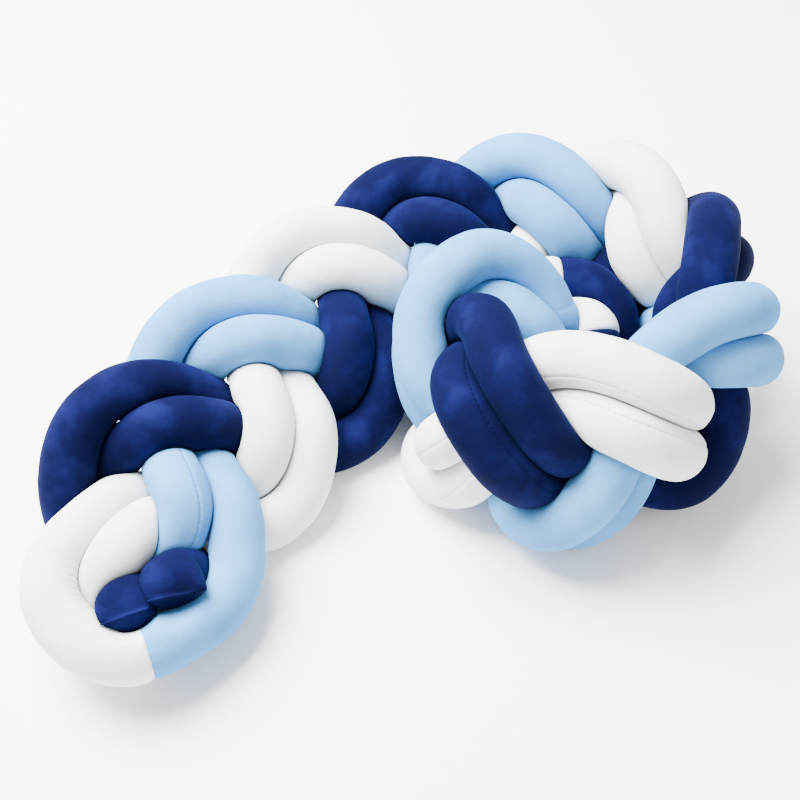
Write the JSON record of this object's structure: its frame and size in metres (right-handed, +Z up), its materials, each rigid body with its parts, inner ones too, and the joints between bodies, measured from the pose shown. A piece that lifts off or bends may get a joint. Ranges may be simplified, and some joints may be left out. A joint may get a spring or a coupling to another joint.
{
  "type": "braided crib bumper",
  "caption": "Plaited cot bumper of long stuffed plush tubes laid in pairs, in navy, white and light blue, lying in a hook with its far end curled up.",
  "frame": {"origin": "middle of the part's bounding box on the floor it lies on", "axes": "+Z up from the floor, +X along the length of the lying plait from its navy ends to its curled end, +Y away from the viewer of the picture"},
  "size_m": [0.8296, 0.6942, 0.2602],
  "materials": {
    "navy_velvet": "short velvet pile",
    "white_plush": "matte short plush",
    "light_blue_plush": "matte short plush"
  },
  "bodies": {
    "root": {"navy_tube_a": "navy_velvet", "navy_tube_b": "navy_velvet", "white_tube_a": "white_plush", "white_tube_b": "white_plush", "light_blue_tube_a": "light_blue_plush", "light_blue_tube_b": "light_blue_plush"}
  },
  "joints": []
}
